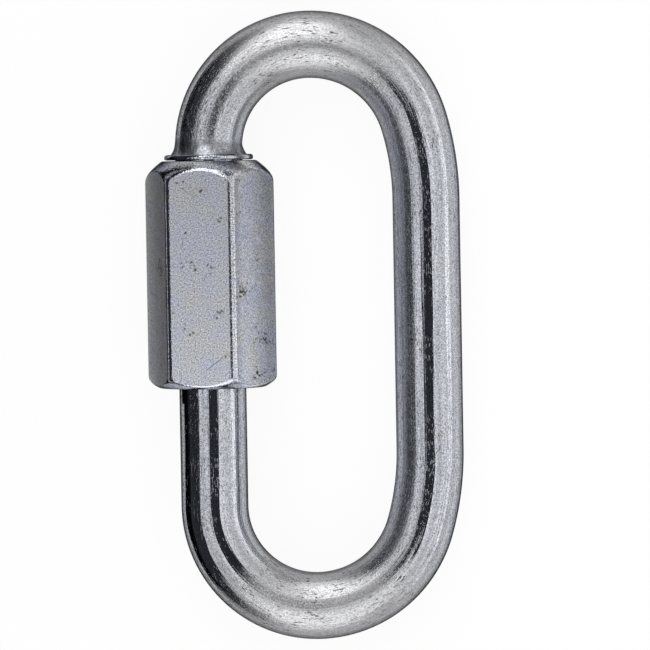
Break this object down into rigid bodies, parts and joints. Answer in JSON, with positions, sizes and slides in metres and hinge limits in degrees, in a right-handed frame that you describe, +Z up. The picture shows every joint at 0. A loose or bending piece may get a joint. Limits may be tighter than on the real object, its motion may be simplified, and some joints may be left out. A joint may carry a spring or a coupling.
{
  "type": "chain quick link",
  "caption": "Oval screw link bent from round bar, with a long hexagon sleeve nut that closes the gate between two threaded ends, for joining chain, rings and slings.",
  "frame": {"origin": "on the table, below the middle of the link's length and width as it lies", "axes": "+Z up off the table, +Y along the link towards the collar end of the nut, +X from the gate leg towards the plain leg"},
  "size_m": [0.0464, 0.093, 0.017],
  "materials": {
    "bar_zinc": "bright zinc plate on drawn and bent steel bar, blue passivated",
    "nut_zinc": "bright zinc plate on drawn hexagon steel, blue passivated, satin"
  },
  "bodies": {
    "link": {"link_bar": "bar_zinc"},
    "nut": {"sleeve_nut": "nut_zinc"}
  },
  "joints": [
    {"name": "nut_run", "type": "slide", "parent": "link", "child": "nut", "axis": [0, -1, 0], "range_m": [0, 0.0175]}
  ]
}
